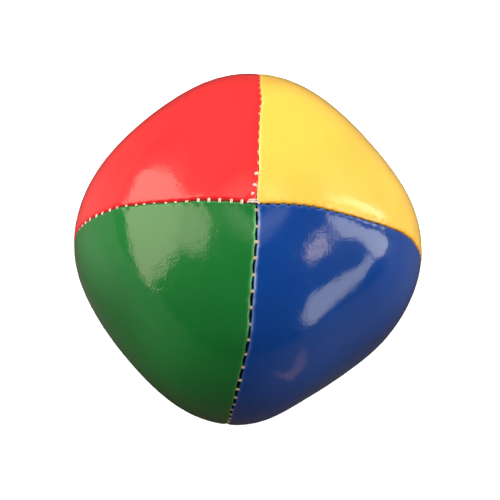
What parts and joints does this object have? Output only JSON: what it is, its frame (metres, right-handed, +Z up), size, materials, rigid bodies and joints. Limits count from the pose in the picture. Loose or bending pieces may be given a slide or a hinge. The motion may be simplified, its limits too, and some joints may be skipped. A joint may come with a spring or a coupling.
{
  "type": "juggling ball",
  "caption": "Soft juggling ball: red, yellow, green and blue leatherette panels sewn into a grain-filled bag that rests a little flat.",
  "frame": {"origin": "middle of the flat patch that the ball rests on, where the four lower panel tips meet", "axes": "+Z up through both poles, where the seams meet; +X through the yellow/blue seam and +Y through the red/yellow seam"},
  "size_m": [0.0684, 0.0683, 0.0603],
  "materials": {
    "red_leatherette": "smooth glossy leatherette, fine grain",
    "yellow_leatherette": "smooth glossy leatherette, fine grain",
    "green_leatherette": "smooth glossy leatherette, fine grain",
    "blue_leatherette": "smooth glossy leatherette, fine grain",
    "thread": "two-ply spun polyester, cream",
    "millet": "loose dry grain"
  },
  "bodies": {
    "root": {"panel_red": "red_leatherette", "panel_yellow": "yellow_leatherette", "panel_green": "green_leatherette", "panel_blue": "blue_leatherette", "needle_thread_yellow_blue": "thread", "bobbin_thread_yellow_blue": "thread", "needle_thread_red_yellow": "thread", "bobbin_thread_red_yellow": "thread", "needle_thread_green_red": "thread", "bobbin_thread_green_red": "thread", "needle_thread_blue_green": "thread", "bobbin_thread_blue_green": "thread", "closing_thread": "thread", "pole_tack_top": "thread", "pole_tack_bottom": "thread", "millet_fill": "millet"}
  },
  "joints": []
}
